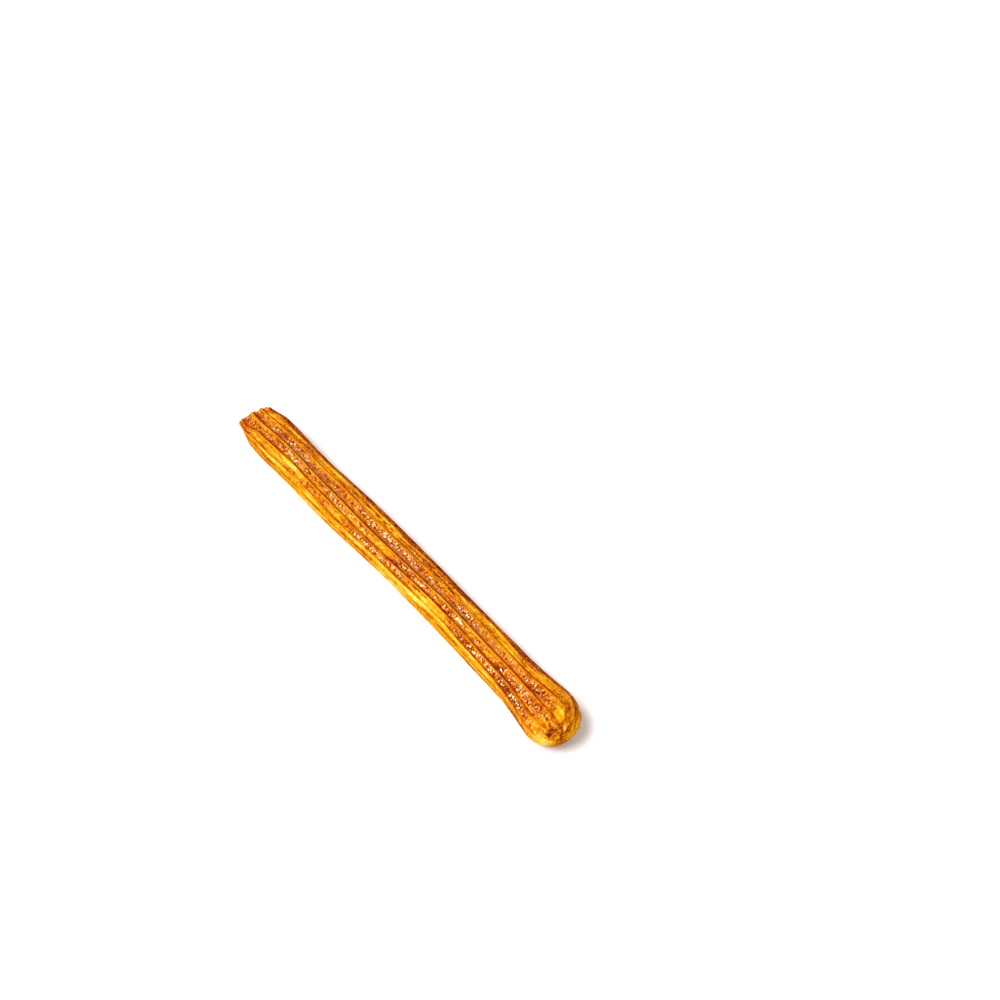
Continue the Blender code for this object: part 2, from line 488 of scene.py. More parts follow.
class Mark(Enum):
    """What the oven and the nozzle did to one place on the crust."""

    # Thin lines of it along the flank that faces the key light also paint a pale highlight.
    STRETCHED = "swelled after the crust had set: smooth, thin and yellow"
    SCORCHED = "stood out in the heat: dark red-brown"
    # The cleft is cut into the relief; its dark colour is painted shade.
    SLIT = "tore open along the stick: a dark narrow cleft"
    BARE = "few blisters, though as brown as the rest"
    # Its large bright blisters are partly painted: their near-white colour is a painted highlight.
    BLISTERED = "thick with large bright blisters"
    DULL = "dry and pinkish, where the wash did not reach"


@dataclass(frozen=True)
class Place:
    """One marked place: where it lies, its half sizes in mm, and how strong it is."""

    along: float
    angle: float
    half_length: float
    half_width: float
    amount: float = 1.0


# Each row is one Place. The flutes that show most lie at 63, 42, 20, -4 (the top one) and -32
# degrees. Each group goes through them in that order, then over the round end and the far flanks.
PLACES: dict[Mark, tuple[tuple, ...]] = {
    Mark.STRETCHED: (
        # The long thin rows at 60 degrees also paint a pale highlight along the flank that faces the
        # key light.
        (-90, 60, 20, 1.1), (-54, 62, 6, 1.6, 0.75), (-80, 78, 24, 2.0, 0.5), (22, 60, 64, 1.7),
        (-75, 37, 11, 1.4), (-89, 46, 12, 1.3, 0.5), (-105, 42, 9, 2.2, 0.5), (-38, 42, 8, 1.8, 0.6),
        (33, 42, 15, 2.3, 0.85), (-40, 26, 36, 1.2, 0.45), (-5, 20, 9, 2.0, 0.55),
        (73, 20, 4, 1.8, 0.35), (-108, -30, 9, 2.4, 0.7), (-30, -27, 10, 1.2, 0.45),
        (-8, -30, 9, 1.6, 0.45), (47, -29, 9, 1.5, 0.5), (76, -31, 8, 1.7, 0.4),
        (98, -32, 9, 2.2, 0.5), (117.5, -5, 5.5, 3.0, 0.65), (119, 66, 6, 5.0, 0.7),
        (124, -75, 6, 7.0, 0.35), (-70, -100, 24, 3.0, 0.5), (20, -98, 30, 2.6, 0.6),
        (78, -120, 20, 3.0, 0.5), (-60, 108, 34, 2.4, 0.65), (34, 112, 36, 2.6, 0.65),
    ),
    Mark.SCORCHED: (
        (101, 75, 12, 2.4, 0.4), (-117, 52, 7, 1.5, 0.8), (57, 43, 10, 1.8, 0.75), (93, 42, 17, 2.0),
        (87, 24, 14, 1.3, 0.5), (-74, -32, 20, 2.0, 0.35), (123.5, 30, 3.8, 3.8),
        (119, -17, 3.0, 1.2, 0.7), (-20, -78, 22, 1.6, 0.35),
    ),
    Mark.SLIT: (
        # Each slit is cut into the relief, and its dark colour is painted shade in the cleft.
        (-110.5, 46, 4.0, 0.35, 0.8), (-110, 38, 3.0, 0.30, 0.6), (-70, -34, 5.0, 0.36, 0.6),
        (-38, -36, 2.4, 0.50), (-28.5, -37, 3.4, 0.70), (-21, -36, 2.0, 0.55), (-15.5, -36, 2.2, 0.50),
        (-9.5, -36, 2.0, 0.48), (-2, -34, 3.0, 0.48), (36.5, -27, 2.8, 0.75),
        (51, -31, 4.5, 0.40, 0.9), (84, -35, 4.0, 0.40, 0.7), (48, -109, 6, 0.30, 0.6),
        (-74, 118, 7, 0.30, 0.6), (18, 120, 9, 0.30, 0.6),
    ),
    Mark.BARE: (
        (-50, -6, 13, 2.6, 0.5), (8, 4, 76, 1.4, 0.75), (37, -6, 6, 2.4, 0.6), (67, 0, 9, 2.4, 0.5),
        (92, 3, 15, 2.4, 0.7), (117.5, -5, 6.0, 3.2),
    ),
    Mark.BLISTERED: (
        (104, 70, 12, 2.4, 0.3), (-5, 42, 26, 2.4), (80, 42, 34, 2.2), (110, 32, 9, 5.0, 0.5),
        (-76, 18, 18, 2.2, 0.8), (-35, 18, 20, 2.2), (34, 20, 32, 2.2), (92, 20, 18, 2.2, 0.8),
        (-80, -9, 18, 2.0, 0.5), (-2, -11, 34, 1.8, 0.85), (50, -11, 13, 1.8), (92, -12, 20, 2.4, 0.9),
    ),
    Mark.DULL: (
        (103, 74, 14, 3.0, 0.3), (-72, 1, 40, 1.7, 0.8), (-55, -6, 14, 2.4, 0.35),
        (28, 2, 62, 1.4, 0.75), (64, -2, 12, 2.4, 0.35),
    ),
}


# ---------------------------------------------------------------- the fine crust


@dataclass(frozen=True)
class Edges:
    """How ragged the edges of marked places are: shifts in mm, and flecks and streaks as shares."""

    shift_along: float = 4.0
    shift_around: float = 0.6
    flecks: float = 0.35
    streaks: float = 0.35
    fade_span: tuple = (0.5, 1.2)
    ragged_from_half_width: float = 1.5


@dataclass(frozen=True)
class Relief:
    """Heights and sizes of the crust's fine relief, in mm.

    A span says where something eases in, and its third number how much. A swing is what there is
    at 0 of a pattern or a mask, and how much more at 1. The long lists go by flute.
    """

    under_span: tuple = (0.3, 2.6)
    lump_height: float = 0.24
    wander_pitch: float = 9.0
    wander_turns: float = 3.0
    wander_degrees: float = 0.9
    wander_seed: int = 5
    lip_height: float = 0.12
    lip_width: float = 0.30
    lip_swing: tuple = (0.7, 0.6)
    lip_fade_span: tuple = (90.0, 108.0, 0.6)
    steep_span: tuple = (0.4, 0.6)
    crease_place: float = 0.40
    crease_width: float = 0.40
    crease_depth: float = 0.18
    crease_fade_span: tuple = (96.0, 112.0, 0.65)
    creasing: tuple = (0.4, 0.4, 0.4, 0.4, 0.5, 0.9, 0.7, 1.15, 0.8, 0.45, 0.45, 0.35) + (0.4,) * 4
    ridge_clear_span: tuple = (0.45, 1.1)
    patch_swing: tuple = (0.85, 0.40)
    patch_limits: tuple = (0.4, 1.0)
    blistering: tuple = (0.6,) * 4 + (0.7, 0.9, 0.65, 1.0, 1.0, 1.0, 0.75, 0.5, 0.5, 0.5, 0.6, 0.6)
    smooth_stretched: float = 0.92
    smooth_bare: float = 0.75
    smooth_under: float = 0.75
    smooth_cap_span: tuple = (115.0, 123.0, 0.5)
    pebble_height: float = 0.38
    pebble_swing: tuple = (0.35, 0.85)
    pebble_foot: float = 0.35
    grain_height: float = 0.13
    grain_swing: tuple = (0.4, 0.8)
    grain_among_pebbles: tuple = (0.25, 0.75)
    grain_foot: float = 0.4
    ripple_pitch: float = 2.1
    ripple_height: float = 0.06
    ripple_slant: float = 0.5
    ripple_slant_across: float = 0.2
    streak_height: float = 0.05
    streak_swing: tuple = (0.3, 0.7)
    streaking: tuple = (1, 1, 1.3, 1.5, 1.3, 1.2, 2.4, 1, 1, 1, 1.6, 1.8, 1.6, 1.3, 1, 1)
    puff_height: float = 0.15
    slit_depth: float = 0.6
    tear_height: float = 0.45
    pit_depth: float = 0.35
    pit_core_span: tuple = (0.80, 0.95)
    pit_chance_span: tuple = (0.55, 0.65)
    pit_fade_span: tuple = (0.8, 0.95)


@dataclass(frozen=True)
class Wash:
    """How the egg wash browned: from 0, yellow, to 1, nearly burnt. The long lists go by flute."""

    # The sixth flute, on the +Y flank from -67 to -44 degrees, is the darkest: browned crust and
    # painted shade, as that flank faces away from the key light.
    flute_tones: tuple = (
        0.60, 0.54, 0.48, 0.52, 0.58, 0.78, 0.46, 0.60, 0.57, 0.52, 0.37, 0.25, 0.36, 0.45, 0.56, 0.62,
    )
    wide: float = 0.10
    fine: float = 0.19
    streak: float = 0.14
    cap_paler_span: tuple = (104.0, 114.0, 0.08)
    # The first two make it darker between pebbles and paler on their tops: pooled wash and painted
    # shade.
    pebble_paler: float = 0.26
    grain_paler: float = 0.14
    top_middle: float = 0.45
    tint_paler: float = 0.16
    tint_middle: float = 0.5
    # The lit edge, strongest on the flutes that face the key light, is a painted highlight.
    lit_tone: float = 0.22
    lit_share: float = 0.7
    lit_fade_span: tuple = (74.0, 92.0, 0.5)
    lighting: tuple = (0.3,) * 6 + (0.1, 0.8, 1.0, 0.8, 0.5, 0.2) + (0.3,) * 4
    stretched_share: float = 0.88
    stretched_tone: float = 0.03
    stretched_fine: float = 0.12
    stretched_streak: float = 0.13
    scorched_tone: float = 0.86
    scorched_share: float = 0.8
    under_swing: tuple = (0.62, 0.12)
    face_swing: tuple = (0.40, 0.36)
    face_rim_span: tuple = (0.72, 0.98, 0.22)
    rim_flecks: float = 1.6
    rim_span: tuple = (0.3, 1.8, 0.75)
    # Charring in the creases, on the side of each ridge away from the key light, is browned crust and
    # painted shade; in the slits and the pits it is painted shade; on the lips it is browned crust.
    char_crease: float = 1.2
    char_lip: float = 0.10
    char_swing: tuple = (0.85, 0.45)
    char_pit: float = 0.5


# What the crust hands to its finish for each point, each 0 to 1.
ATTRIBUTES = ("browning", "char", "bloom", "dull", "blistered", "pebbled")


@dataclass(frozen=True)
class Crust:
    """The whole skin as one closed mesh, from the middle of the cut face to the bulb's pole."""

    form: StickForm = StickForm()
    edges: Edges = Edges()
    relief: Relief = Relief()
    wash: Wash = Wash()
    face_rows: int = 18
    rim_rows: int = 10
    body_rows: int = 556
    bulb_rows: int = 46
    rim_reach: float = 0.0035
    pole_gap: float = 0.02
    columns_per_degree: tuple = (0.30, 0.50)
    column_height_span: tuple = (-0.9, -0.1)
    column_bunching: float = 0.45
    layout_margin: float = 0.004
    layout_strip: float = 0.488
    layout_step: float = 0.504

    def columns(self) -> tuple[Array, Array, Array]:
        """Plain angle of every column, its place across its flute, and its flute's number.

        A flute has more columns the further it is from the underside, and they crowd towards its
        ridges: the place across is t - k sin(2 pi t) / (2 pi).

        Returns:
            Angles in radians, places from 0 to 1, and numbers.
        """
        widths = np.array(self.form.flute_degrees)
        starts = self.form.first_ridge + np.concatenate([[0.0], np.cumsum(widths)[:-1]])
        fewest, most = self.columns_per_degree
        height = np.cos(np.radians(starts + widths / 2.0))
        density = fewest + (most - fewest) * ease(height, self.column_height_span)
        counts = np.rint(widths * density).astype(int)
        flute = np.repeat(np.arange(len(widths)), counts)
        firsts = np.repeat(np.cumsum(counts) - counts, counts)
        step = (np.arange(len(flute)) - firsts) / counts[flute]
        across = step - self.column_bunching * np.sin(math.tau * step) / math.tau
        return np.radians(starts[flute] + widths[flute] * across), across, flute

    def wander(self, x: Array, base: Array) -> Array:
        """How far each ridge strays from its straight course: noise along it.

        Args:
            x: place of each row, (rows, 1).
            base: plain angle of each column, (columns,).

        Returns:
            Radians, (rows, columns).
        """
        relief = self.relief
        around = (trig(base) * relief.wander_turns for trig in (np.sin, np.cos))
        along = x / (relief.wander_pitch * MM)
        places = np.stack(np.broadcast_arrays(along, *around), axis=-1)
        return math.radians(relief.wander_degrees) * smooth_noise(places, relief.wander_seed)

    def bare_surface(self) -> Skin:
        """The form on a fine grid, with what the relief and the colours need to know of each point.

        Returns:
            points (rows, columns, 3) in metres; along, the distance along the skin in mm; angle in
            degrees; across and flute; radius in mm; crest, the distance to the nearest ridge in mm;
            ridged, the share of the ridges that is left; face, 1 on the cut face; out, the share of
            the way out from the middle of that face.
        """
        base, across, flute = self.columns()
        form = self.form
        rim = form.cut_end_x + np.linspace(0.0, self.rim_reach, self.rim_rows, endpoint=False)
        rest = np.linspace(form.cut_end_x + self.rim_reach, form.bulb_x, self.body_rows)
        x = np.concatenate([rim, rest])[:, None]
        turn = np.linspace(0.0, math.pi / 2.0 - self.pole_gap, self.bulb_rows + 1)[1:, None]
        share = np.linspace(0.0, 1.0, self.face_rows + 2)[1:-1, None]

        wander = self.wander(x, base)
        body = form.body(x, base + wander, across)
        bulb = form.bulb(turn, base + wander[-1:] * np.cos(turn) ** 2, across)
        face = form.face(body[:1], share)
        points = np.concatenate([face, body, bulb])

        before_bulb = len(face) + len(x)
        arc = np.linalg.norm(np.diff(np.concatenate([body[-1:], bulb]), axis=0), axis=-1)
        bulb_x = form.bulb_x + np.cumsum(arc.mean(axis=1))
        along = np.concatenate([np.full(len(face), x[0, 0]), x[:, 0], bulb_x]) / MM
        radius = np.linalg.norm(points - points.mean(axis=1, keepdims=True), axis=-1)
        radius = radius.mean(axis=1, keepdims=True)
        to_ridge = np.minimum(across, 1.0 - across) * np.radians(form.flute_degrees)[flute]
        kept = form.kept(turn, form.warped(base, form.bulb_x))
        plain = {
            "along": along[:, None],
            "angle": np.degrees(base),
            "across": across,
            "flute": flute,
            "radius": radius / MM,
            "crest": to_ridge * radius / MM,
            "ridged": np.concatenate([np.ones((before_bulb, len(base))), kept]),
            "face": (np.arange(len(points)) < len(face)).astype(float)[:, None],
            "out": np.concatenate([share, np.ones((len(points) - len(face), 1))]),
        }
        spread = {name: np.broadcast_to(each, points.shape[:2]) for name, each in plain.items()}
        return Skin(points=points, **spread)

    def mark(self, skin: Skin) -> None:
        """Adds how strongly each point bears each mark, by the mark's name in small letters.

        It is the strongest of the mark's places, which are ragged ovals: 1 within 0.5 of the oval,
        easing to 0 at 1.2 of it. Noise shifts the edge and breaks it into flecks and, along the
        stick, into streaks, less so on a narrow place.

        Args:
            skin: the bare surface with its patterns.
        """
        edges = self.edges
        broken = edges.flecks * skin.edge_flecks + edges.streaks * skin.edge_streaks
        for mark, rows in PLACES.items():
            strongest = np.zeros(skin.along.shape)
            for place in itertools.starmap(Place, rows):
                slack = min(1.0, place.half_width / edges.ragged_from_half_width)
                along = skin.along - place.along + edges.shift_along * slack * skin.shift_along
                turned = (skin.angle - place.angle + 180.0) % 360.0 - 180.0
                around = np.radians(turned) * skin.radius
                around = around + edges.shift_around * slack * skin.shift_around
                off = np.hypot(along / place.half_length, around / place.half_width)
                share = fall(off + slack * broken, edges.fade_span)
                strongest = np.maximum(strongest, place.amount * share)
            setattr(skin, mark.name.lower(), strongest * (1.0 - skin.face))

    def mask(self, skin: Skin) -> None:
        """Adds the masks that both the relief and the colours follow.

        They are under, 1 where the stick lies on the tray; in_flute, 1 clear of the ridges;
        pebbled, how thickly pebbles stand; and lip, crease and lit, the thin lip on each ridge, the
        dark crease along its steep side, which faces away from the key light and is partly painted
        shade, and the lit edge along the other, a painted highlight on the side towards the key light.
        Each flute's streaks get their strength, and the pits are left only on the cut face.

        Args:
            skin: the bare surface with its patterns and marks.
        """
        relief, wash = self.relief, self.wash
        on_body = 1.0 - skin.face
        skin.under = fall(skin.points[..., 2] / MM, relief.under_span)
        clear = ease(skin.crest, relief.ridge_clear_span)
        skin.in_flute = clear + (1.0 - clear) * (1.0 - skin.ridged)
        patchy = np.clip(swung(skin.patches, relief.patch_swing), *relief.patch_limits)
        skin.pebbled = skin.in_flute * (patchy * by_flute(skin, relief.blistering))
        skin.pebbled *= 1.0 - relief.smooth_stretched * skin.stretched
        skin.pebbled *= 1.0 - relief.smooth_bare * skin.bare
        skin.pebbled *= (1.0 - relief.smooth_under * skin.under) * on_body
        skin.pebbled *= 1.0 - ease(skin.along, relief.smooth_cap_span)

        sharp = skin.ridged * (1.0 - skin.under) * on_body
        beside = np.exp(-(((skin.crest - relief.crease_place) / relief.crease_width) ** 2)) * sharp
        steep = ease(skin.across, relief.steep_span)
        skin.lip = np.exp(-((skin.crest / relief.lip_width) ** 2)) * sharp
        # The crease is a real groove on the side of each ridge away from the key light; its dark
        # colour is partly painted shade.
        skin.crease = beside * steep * by_flute(skin, relief.creasing)
        skin.crease *= 1.0 - ease(skin.along, relief.crease_fade_span)
        # Painted highlight: the edge on the side of each ridge that faces the key light.
        skin.lit = beside * (1.0 - steep) * by_flute(skin, wash.lighting)
        skin.lit *= 1.0 - ease(skin.along, wash.lit_fade_span)
        skin.streak *= by_flute(skin, relief.streaking)
        skin.pit = skin.face * ease(skin.pit, relief.pit_core_span)
        skin.pit *= ease(skin.pit_tint, relief.pit_chance_span)
        skin.pit *= fall(skin.out, relief.pit_fade_span)

    def height(self, skin: Skin) -> Array:
        """The height of the relief: the sum of every kind, each where its mask lets it be.

        A ripple is sin(2 pi) of the distance along over its pitch, slanted by noise. A puff lifts
        a stretched place, and slits, creases and pits are cut in.

        Args:
            skin: the bare surface with its patterns, marks and masks.

        Returns:
            The height at each point, in mm.
        """
        relief = self.relief
        lip = relief.lip_height * skin.lip * swung(skin.uneven, relief.lip_swing)
        pebble = swung(skin.pebble_tint, relief.pebble_swing) * (skin.pebble - relief.pebble_foot)
        grain = swung(skin.grain_tint, relief.grain_swing) * (skin.grain - relief.grain_foot)
        slant = relief.ripple_slant * skin.slant + relief.ripple_slant_across * skin.across
        ripple = np.sin(math.tau * (skin.along / relief.ripple_pitch + slant))
        streak = skin.streak * swung(skin.stretched, relief.streak_swing)

        height = relief.lump_height * skin.lumps * (1.0 - skin.under)
        height += lip * (1.0 - ease(skin.along, relief.lip_fade_span))
        height += relief.pebble_height * skin.pebbled * pebble
        height += relief.grain_height * swung(skin.pebbled, relief.grain_among_pebbles) * grain
        height += relief.ripple_height * skin.pebbled * ripple + relief.streak_height * streak
        height += relief.puff_height * skin.stretched * skin.in_flute
        height -= relief.slit_depth * skin.slit + relief.crease_depth * skin.crease
        height += relief.tear_height * skin.tears * skin.face
        return height - relief.pit_depth * skin.pit

    def browning(self, skin: Skin) -> Array:
        """How brown each point is.

        It is darker between the pebbles and paler on their tops, partly as the wash pools there and
        partly as painted shade. It starts from each flute's tone, and marks, the underside and the
        torn face then draw it towards their own. The paler edge on each ridge's side towards the key
        light is a painted highlight.

        Args:
            skin: the bare surface with its patterns, marks and masks.

        Returns:
            The tone at each point, 0 to 1.
        """
        wash = self.wash
        tone = by_flute(skin, wash.flute_tones) + wash.wide * skin.wide
        tone = tone + wash.fine * skin.fine + wash.streak * skin.streak
        tone = tone - ease(skin.along, wash.cap_paler_span)
        # Darker between the pebbles, paler on their tops: pooled wash and painted shade.
        paler = wash.pebble_paler * (skin.pebble - wash.top_middle)
        paler = paler + wash.grain_paler * (skin.grain - wash.top_middle)
        paler = paler + wash.tint_paler * (skin.pebble_tint - wash.tint_middle)
        tone = tone - skin.pebbled * paler
        # Painted highlight: each ridge's edge towards the key light is drawn paler.
        tone = tone + (wash.lit_tone - tone) * wash.lit_share * skin.lit
        thin = wash.stretched_tone + wash.stretched_fine * skin.fine
        thin = thin + wash.stretched_streak * skin.streak
        tone = tone * (1.0 - wash.stretched_share * skin.stretched) + skin.stretched * thin
        tone = tone + (wash.scorched_tone - tone) * skin.scorched * wash.scorched_share
        tone = tone * (1.0 - skin.under) + skin.under * swung(skin.fine, wash.under_swing)
        torn = swung(skin.torn, wash.face_swing) + ease(skin.out, wash.face_rim_span)
        return np.clip(tone * (1.0 - skin.face) + skin.face * torn, 0.0, 1.0)

    def dressed(self) -> Skin:
        """The whole skin, ready for its relief and its finish.

        Returns:
            The bare surface with its patterns, marks, masks and ATTRIBUTES.
        """
        skin, wash = self.bare_surface(), self.wash
        for name, pattern in PATTERNS.items():
            pattern.draw(skin, name)
        self.mark(skin)
        self.mask(skin)
        from_rim = skin.along - self.form.cut_end_x / MM + wash.rim_flecks * skin.rim_flecks
        rim = fall(from_rim, wash.rim_span) * (1.0 - skin.face)
        # Browned lips, with painted shade in the creases on each ridge's shaded side, in the slits and
        # in the pits.
        char = wash.char_crease * skin.crease + wash.char_lip * skin.lip
        char = char * swung(skin.uneven, wash.char_swing) * (1.0 - rim)
        skin.char = np.clip(np.maximum(char, skin.slit) + wash.char_pit * skin.pit, 0.0, 1.0)
        skin.bloom = np.clip(rim + skin.face, 0.0, 1.0)
        skin.browning = self.browning(skin)
        skin.blistered *= skin.pebbled
        return skin

    def raised(self, points: Array, height: Array) -> Array:
        """The surface moved out along its normal, the cross product of its two grid steps.

        Args:
            points: the surface, (rows, columns, 3).
            height: how far each point moves, (rows, columns).

        Returns:
            The moved points.
        """
        along = np.gradient(points, axis=0)
        around = np.roll(points, -1, axis=1) - np.roll(points, 1, axis=1)
        normal = np.cross(around, along)
        normal = normal / np.maximum(np.linalg.norm(normal, axis=-1, keepdims=True), TINY)
        return points + normal * height[..., None]

    def settled(self, points: Array, bare: Array) -> Array:
        """The surface moved so that the bare form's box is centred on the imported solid's box.

        What would sink below the solid's lowest level is pressed flat there.

        Args:
            points: the surface with its relief, (rows, columns, 3).
            bare: the bare form, (rows, columns, 3).

        Returns:
            The moved points.
        """
        low, high = bare.min(axis=(0, 1)), bare.max(axis=(0, 1))
        cad_low, cad_high = (np.array(corner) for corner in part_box("churro"))
        shift = (cad_low + cad_high) / 2.0 - (low + high) / 2.0
        moved = points + [shift[0], shift[1], 0.0]
        moved[..., 2] = np.maximum(moved[..., 2], cad_low[2])
        return moved

    def build(self) -> bpy.types.Object:
        """The finished mesh: the grid joined into quads, a fan at each end, and its attributes.

        Returns:
            The crust, in the scene.
        """
        skin = self.dressed()
        points = self.raised(skin.points, self.height(skin) * MM)
        points = self.settled(points, skin.points)
        rows, columns = points.shape[:2]
        ends = np.stack([points[0].mean(axis=0), points[-1].mean(axis=0)])
        vertices = np.concatenate([points.reshape(-1, 3), ends])
        corner = np.arange(rows)[:, None] * columns + np.arange(columns)
        beside = np.roll(corner, -1, axis=1)
        quads = np.stack([corner[:-1], beside[:-1], beside[1:], corner[1:]], axis=-1).reshape(-1, 4)
        start_fan = np.stack([np.full(columns, rows * columns), beside[0], corner[0]], axis=-1)
        end_fan = np.stack([corner[-1], beside[-1], np.full(columns, rows * columns + 1)], axis=-1)
        mesh = mesh_of("crust", vertices, (quads, start_fan, end_fan))
        layout = mesh.uv_layers.new(name="OFBake")
        flat = self.bake_layout(points, ends)
        layout.uv.foreach_set("vector", flat.astype(np.float32).ravel())
        for name in ATTRIBUTES:
            values = getattr(skin, name)
            padded = np.concatenate([values.ravel(), [values[0].mean(), values[-1].mean()]])
            attribute = mesh.attributes.new(name, "FLOAT", "POINT")
            attribute.data.foreach_set("value", padded.astype(np.float32))
        return add_object("crust", mesh)

    def bake_layout(self, points: Array, ends: Array) -> Array:
        """A flat layout of the skin for textures: slit along the underside and halved across.

        Each half fills a strip, with the distance along the skin to the right and the way around
        upwards.

        Args:
            points: the grid, (rows, columns, 3).
            ends: the middle of the cut face and the pole, (2, 3).

        Returns:
            One place for each corner of each face, in the order that build() makes them.
        """
        rows, columns = points.shape[:2]
        first = np.linalg.norm(points[0] - ends[0], axis=-1).mean()
        last = np.linalg.norm(points[-1] - ends[1], axis=-1).mean()
        steps = np.linalg.norm(np.diff(points, axis=0), axis=-1).mean(axis=1)
        reached = np.concatenate([[first], first + np.cumsum(steps)])
        total = reached[-1] + last
        half = np.searchsorted(reached, total / 2.0)
        starts = np.array([0.0, reached[half]])
        lengths = np.array([reached[half], total - reached[half]])
        margin, wide = self.layout_margin, 1.0 - 2.0 * self.layout_margin

        def placed(distance: Array, around: Array, strip: Array) -> Array:
            """Places in the layout.

            Args:
                distance: how far along the skin.
                around: the column, which may lie between two.
                strip: 0 for the half at the cut end, 1 for the other.

            Returns:
                Right and up, 0 to 1, (..., 2).
            """
            right = margin + wide * (distance - starts[strip]) / lengths[strip]
            up = margin + self.layout_strip * (1.0 - around / columns) + self.layout_step * strip
            return np.stack(np.broadcast_arrays(right, up), axis=-1)

        row = np.arange(rows - 1)[:, None, None]
        turn = np.arange(columns)[:, None]
        quads = placed(reached[row + [0, 0, 1, 1]], turn + [0, 1, 1, 0], (row >= half).astype(int))
        start_fan = placed(np.array([0.0, first, first]), turn + [0.5, 1.0, 0.0], np.array(0))
        end = reached[-1] + np.array([0.0, 0.0, last])
        end_fan = placed(end, turn + [0.0, 1.0, 0.5], np.array(1))
        return np.concatenate([part.reshape(-1, 2) for part in (quads, start_fan, end_fan)])


def by_flute(skin: Skin, values: tuple) -> Array:
    """One number for each flute, spread over the skin."""
    return np.array(values)[skin.flute]


def add_object(name: str, data: bpy.types.ID) -> bpy.types.Object:
    """Adds an object to the scene.

    Args:
        name: the object's name.
        data: its mesh, light or camera.

    Returns:
        The new object.
    """
    added = bpy.data.objects.new(name, data)
    bpy.context.scene.collection.objects.link(added)
    return added


def mesh_of(name: str, vertices: Array, groups: tuple[Array, ...]) -> bpy.types.Mesh:
    """A smooth mesh from whole arrays.

    Args:
        name: the mesh's name.
        vertices: (n, 3) in metres.
        groups: arrays of faces, each (m, corners).

    Returns:
        The new mesh.
    """
    corners = np.concatenate([group.ravel() for group in groups])
    sizes = np.concatenate([np.full(len(group), group.shape[1]) for group in groups])
    mesh = bpy.data.meshes.new(name)
    mesh.vertices.add(len(vertices))
    mesh.vertices.foreach_set("co", vertices.astype(np.float32).ravel())
    mesh.loops.add(len(corners))
    mesh.loops.foreach_set("vertex_index", corners.astype(np.int32))
    mesh.polygons.add(len(sizes))
    mesh.polygons.foreach_set("loop_start", (np.cumsum(sizes) - sizes).astype(np.int32))
    mesh.update(calc_edges=True)
    mesh.validate()
    mesh.shade_smooth()
    return mesh


# ---------------------------------------------------------------- finishes


def linear(colour: str) -> tuple[float, float, float, float]:
    """An sRGB colour as a linear one.

    Args:
        colour: hex digits, such as "#D98A20".

    Returns:
        Red, green, blue and alpha, 0 to 1.
    """
    channels = [int(colour[place : place + 2], 16) / 255.0 for place in (1, 3, 5)]
    straight = [c / 12.92 if c <= 0.04045 else ((c + 0.055) / 1.055) ** 2.4 for c in channels]
    return (*straight, 1.0)


def feed(tree: bpy.types.NodeTree, node: bpy.types.Node, inputs: dict) -> None:
    """Sets a node's inputs.

    Args:
        tree: the tree that the node is in.
        node: the node.
        inputs: for each socket, by name or number, a value or the socket that feeds it.
    """
    for socket, source in inputs.items():
        if isinstance(source, bpy.types.NodeSocket):
            tree.links.new(source, node.inputs[socket])
        else:
            node.inputs[socket].default_value = source


def add_node(
    tree: bpy.types.NodeTree,
    kind: str,
    inputs: dict | None = None,
    stops: tuple = (),
    **settings: object,
) -> bpy.types.bpy_prop_collection:
    """Adds one node to a tree.

    Args:
        tree: the material's or world's node tree.
        kind: the node's type name, without the "ShaderNode" in front.
        inputs: for each socket, by name or number, a value or the socket that feeds it.
        stops: a colour ramp's places, in rising order, each with its sRGB hex colour.
        settings: the node's own properties.

    Returns:
        The new node's outputs.
    """
    node = tree.nodes.new("ShaderNode" + kind)
    for name, value in settings.items():
        setattr(node, name, value)
    feed(tree, node, inputs or {})
    for number, (place, tone) in enumerate(stops):
        elements = node.color_ramp.elements
        element = elements[number] if number < len(elements) else elements.new(place)
        element.position, element.color = place, linear(tone)
    return node.outputs


def mapping(value: object, source: tuple = (0.0, 1.0), target: tuple = (0.0, 1.0)) -> dict:
    """Inputs of a node that maps the source range to the target range."""
    ends = zip(("From Min", "From Max", "To Min", "To Max"), (*source, *target))
    return {"Value": value, **dict(ends)}


